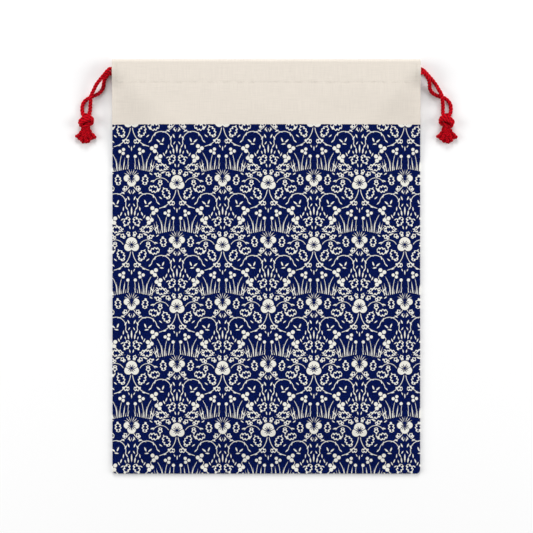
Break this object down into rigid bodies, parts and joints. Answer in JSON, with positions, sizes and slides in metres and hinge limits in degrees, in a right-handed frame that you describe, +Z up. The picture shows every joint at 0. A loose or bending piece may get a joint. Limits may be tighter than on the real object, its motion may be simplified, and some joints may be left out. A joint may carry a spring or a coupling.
{
  "type": "drawstring gift pouch",
  "caption": "Flat canvas drawstring pouch with a patterned body, a plain casing band at the mouth and two knotted, tasselled drawcords that close it when pulled.",
  "frame": {"origin": "on the surface that the pouch lies on, under the middle of the pouch", "axes": "+Z up from the surface, out of the front panel; +Y along the pouch towards its mouth; +X towards the right side seam"},
  "size_m": [0.382, 0.41, 0.016],
  "materials": {
    "printed_canvas": "matte woven cotton canvas with a printed repeat",
    "plain_canvas": "matte natural woven cotton canvas",
    "thread": "matte sewing thread",
    "drawcord": "soft matte twisted cotton cord"
  },
  "bodies": {
    "pouch": {"back_panel": "printed_canvas", "front_panel": "printed_canvas", "left_side_seam": "plain_canvas", "right_side_seam": "plain_canvas", "bottom_seam": "plain_canvas", "back_casing": "plain_canvas", "front_casing": "plain_canvas", "back_casing_stitching": "thread", "front_casing_stitching": "thread", "left_side_stitching": "thread", "right_side_stitching": "thread", "bottom_stitching": "thread"},
    "left_mouth": {"left_back_hem": "plain_canvas", "left_front_hem": "plain_canvas", "left_hem_stitching": "thread"},
    "right_mouth": {"right_back_hem": "plain_canvas", "right_front_hem": "plain_canvas", "right_hem_stitching": "thread"},
    "left_cord": {"left_cord": "drawcord"},
    "right_cord": {"right_cord": "drawcord"},
    "left_tail": {"left_front_strand": "drawcord", "left_back_strand": "drawcord", "left_knot": "drawcord", "left_tassel": "drawcord"},
    "right_tail": {"right_front_strand": "drawcord", "right_back_strand": "drawcord", "right_knot": "drawcord", "right_tassel": "drawcord"}
  },
  "joints": [
    {"name": "left_cord_pull", "type": "slide", "parent": "pouch", "child": "left_cord", "axis": [-1, 0, 0], "range_m": [0, 0.095], "deforming": ["front_panel", "back_panel", "left_side_seam", "right_side_seam", "front_casing", "back_casing", "front_casing_stitching", "back_casing_stitching"]},
    {"name": "right_cord_pull", "type": "slide", "parent": "pouch", "child": "right_cord", "axis": [1, 0, 0], "range_m": [0, 0.095]},
    {"name": "left_mouth_gather", "type": "slide", "parent": "pouch", "child": "left_mouth", "axis": [1, 0, 0], "range_m": [0, 0.095]},
    {"name": "right_mouth_gather", "type": "slide", "parent": "pouch", "child": "right_mouth", "axis": [-1, 0, 0], "range_m": [0, 0.095]},
    {"name": "left_tail_swing", "type": "hinge", "parent": "left_cord", "child": "left_tail", "pos_m": [-0.155, 0.1935, 0.0078], "axis": [0, 0, -1], "range_deg": [-12, 60], "deforming": ["left_front_strand", "left_back_strand"]},
    {"name": "right_tail_swing", "type": "hinge", "parent": "right_cord", "child": "right_tail", "pos_m": [0.155, 0.1935, 0.0078], "axis": [0, 0, 1], "range_deg": [-12, 60], "deforming": ["right_front_strand", "right_back_strand"]}
  ],
  "couplings": [
    {"joint": "right_cord_pull", "follows": "left_cord_pull", "ratio": 1},
    {"joint": "left_mouth_gather", "follows": "left_cord_pull", "ratio": 1},
    {"joint": "right_mouth_gather", "follows": "left_cord_pull", "ratio": 1}
  ]
}
